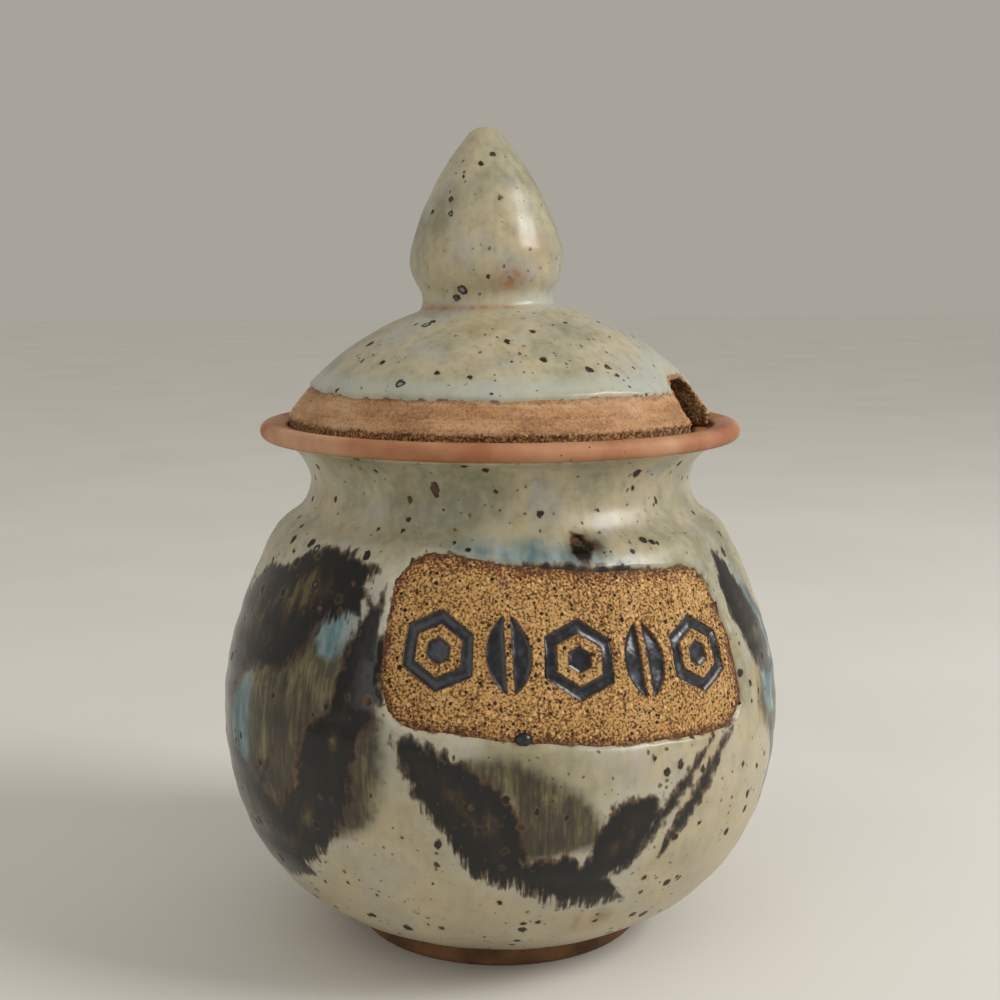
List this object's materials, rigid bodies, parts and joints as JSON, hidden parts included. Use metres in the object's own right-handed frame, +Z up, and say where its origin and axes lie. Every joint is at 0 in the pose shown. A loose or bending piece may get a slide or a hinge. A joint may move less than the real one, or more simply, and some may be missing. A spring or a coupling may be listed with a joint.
{
  "type": "honey pot",
  "caption": "Round stoneware honey pot with a flared rim, a foot ring, and a domed lift-off lid with a pointed knob and a spoon notch.",
  "frame": {"origin": "centre of the foot ring, on the plane that the pot stands on", "axes": "+Z up through the pot, the lid and its knob; -Y is the front, where the bare panel with the stamped marks faces"},
  "size_m": [0.104, 0.104, 0.1483],
  "materials": {
    "bare_stoneware": "bare fired clay with grog and dark specks, satin to dry",
    "outer_glaze": "satin grey-green glaze with iron specks",
    "inner_glaze": "satin grey-green glaze",
    "mark_glaze": "glossy blue-black glaze"
  },
  "bodies": {
    "pot": {"pot_body": "bare_stoneware", "pot_outer_glaze": "outer_glaze", "pot_inner_glaze": "inner_glaze", "panel_marks": "mark_glaze"},
    "lid": {"lid_dome": "bare_stoneware", "lid_knob": "bare_stoneware", "lid_outer_glaze": "outer_glaze", "lid_inner_glaze": "inner_glaze"}
  },
  "joints": [
    {"name": "lid_lift", "type": "slide", "parent": "pot", "child": "lid", "axis": [0, 0, 1], "range_m": [0, 0.06]}
  ]
}
